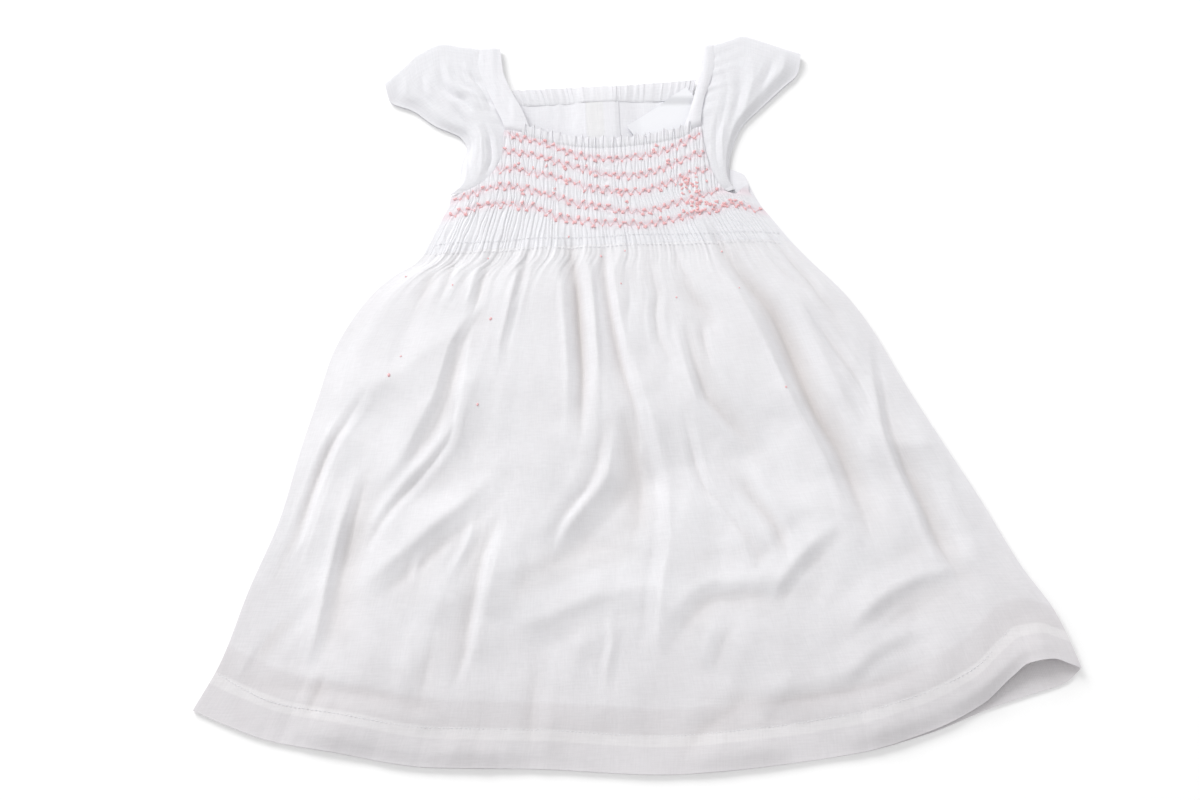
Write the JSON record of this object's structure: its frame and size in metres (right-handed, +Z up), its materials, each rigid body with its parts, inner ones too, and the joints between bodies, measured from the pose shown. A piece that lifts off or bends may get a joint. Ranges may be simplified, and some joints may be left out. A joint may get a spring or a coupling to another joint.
{
  "type": "toddler dress",
  "caption": "Flat-laid toddler dress in white voile: smocked yoke, flutter sleeves, shoulder straps, gathered neck frills, wide gathered skirt and buttoned back yoke.",
  "frame": {"origin": "middle of the dress's box as it lies, on the plane that its back rests on", "axes": "+X across the dress to the viewer's right with the front up, +Y towards the neck, +Z up out of the surface that it lies on"},
  "size_m": [0.5712, 0.5366, 0.0143],
  "materials": {
    "voile": "sheer white cotton voile over a white lining, matt",
    "lawn": "plain white cotton lawn, matt",
    "label_satin": "blank white satin ribbon",
    "button_shell": "pearly white",
    "embroidery_floss": "stranded cotton, rose pink, slight sheen"
  },
  "bodies": {
    "root": {"front": "voile", "back_skirt": "lawn", "back_yoke_left": "lawn", "back_yoke_right": "lawn", "placket_over": "lawn", "placket_under": "lawn", "sleeve_left": "voile", "sleeve_right": "voile", "strap_left": "voile", "strap_right": "voile", "neck_frill_front": "voile", "neck_frill_back": "voile", "label": "label_satin", "button_1": "button_shell", "button_2": "button_shell", "button_3": "button_shell"}
  },
  "joints": []
}
